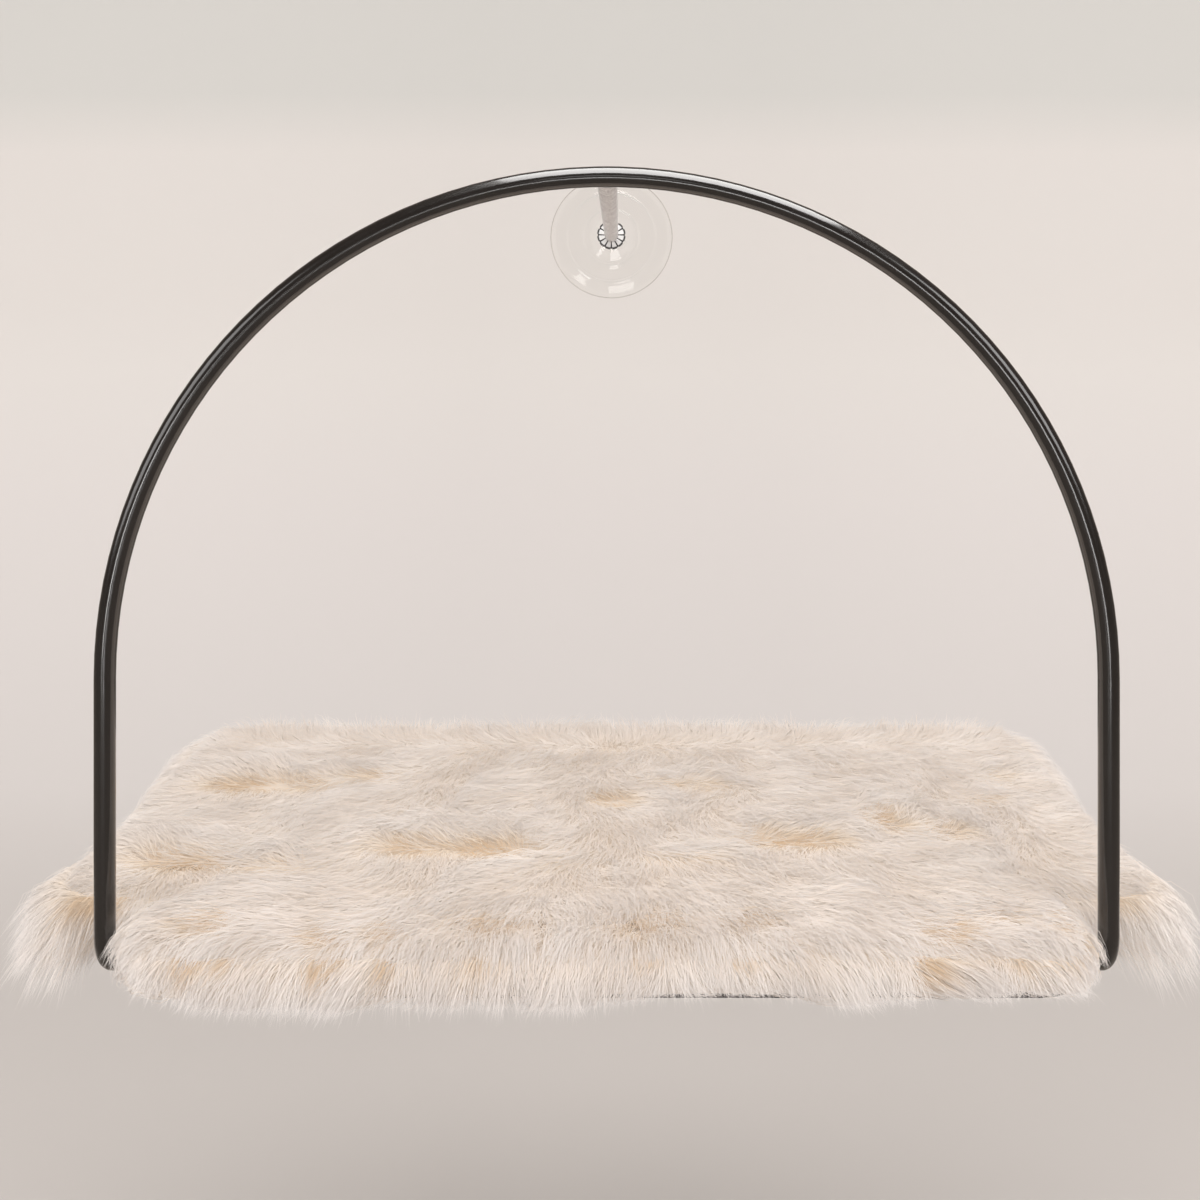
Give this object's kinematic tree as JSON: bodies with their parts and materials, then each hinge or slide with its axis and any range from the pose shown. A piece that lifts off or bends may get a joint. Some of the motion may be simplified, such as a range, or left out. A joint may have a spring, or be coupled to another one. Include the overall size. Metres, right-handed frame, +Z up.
{
  "type": "window mounted cat perch",
  "caption": "Window perch for a cat: a bent tube hoop on suction cups carries a board with a removable long-pile fur mat.",
  "frame": {"origin": "on the glass, on the centre line, level with the middle of the side runs", "axes": "+X to the right as seen from the room, +Y towards the glass, +Z up"},
  "size_m": [0.58, 0.355, 0.525],
  "materials": {
    "black_steel": "satin powder coat",
    "black_plastic": "moulded",
    "plated_steel": "zinc plated",
    "bright_chrome": "polished",
    "white_nylon": "moulded, faintly mottled",
    "clear_vinyl": "clear and glossy",
    "stained_board": "dark stained, matt",
    "edge_band": "satin",
    "hook_tape": "hook tape",
    "loop_tape": "loop tape",
    "woven_backing": "plain weave",
    "foam": "open-cell foam",
    "fur": "long cream pile"
  },
  "bodies": {
    "frame": {"hoop_frame": "black_steel", "left_end_cap": "black_plastic", "right_end_cap": "black_plastic", "apex_stud": "plated_steel", "stem_washer": "white_nylon", "upper_cup": "clear_vinyl", "upper_stud": "plated_steel", "left_cup": "clear_vinyl", "left_stud": "plated_steel", "right_cup": "clear_vinyl", "right_stud": "plated_steel", "board": "stained_board", "board_edge_band": "edge_band", "hook_strips": "hook_tape", "front_left_saddle": "black_steel", "front_right_saddle": "black_steel", "rear_left_saddle": "black_steel", "rear_right_saddle": "black_steel", "saddle_screws": "plated_steel"},
    "stem": {"upper_stem": "white_nylon"},
    "upper_nut": {"upper_lock_nut": "bright_chrome"},
    "left_jam": {"left_jam_nut": "bright_chrome"},
    "left_thumb": {"left_thumb_nut": "bright_chrome"},
    "right_jam": {"right_jam_nut": "bright_chrome"},
    "right_thumb": {"right_thumb_nut": "bright_chrome"},
    "mat": {"loop_strips": "loop_tape", "mat_backing": "woven_backing", "foam_pad": "foam", "fur_cover": "fur"}
  },
  "joints": [
    {"name": "stem_turn", "type": "hinge", "parent": "frame", "child": "stem", "pos_m": [0, -0.163, 0.386], "axis": [0, 1, 0], "continuous": true},
    {"name": "upper_nut_turn", "type": "hinge", "parent": "frame", "child": "upper_nut", "pos_m": [0, -0.0168, 0.386], "axis": [0, 1, 0], "continuous": true},
    {"name": "left_jam_turn", "type": "hinge", "parent": "frame", "child": "left_jam", "pos_m": [-0.2425, -0.0207, -0.047], "axis": [0, 1, 0], "continuous": true},
    {"name": "left_thumb_turn", "type": "hinge", "parent": "frame", "child": "left_thumb", "pos_m": [-0.2425, -0.0373, -0.047], "axis": [0, 1, 0], "continuous": true},
    {"name": "right_jam_turn", "type": "hinge", "parent": "frame", "child": "right_jam", "pos_m": [0.2425, -0.0207, -0.047], "axis": [0, 1, 0], "continuous": true},
    {"name": "right_thumb_turn", "type": "hinge", "parent": "frame", "child": "right_thumb", "pos_m": [0.2425, -0.0373, -0.047], "axis": [0, 1, 0], "continuous": true},
    {"name": "mat_lift", "type": "slide", "parent": "frame", "child": "mat", "axis": [0, 0, 1], "range_m": [0, 0.1]}
  ]
}
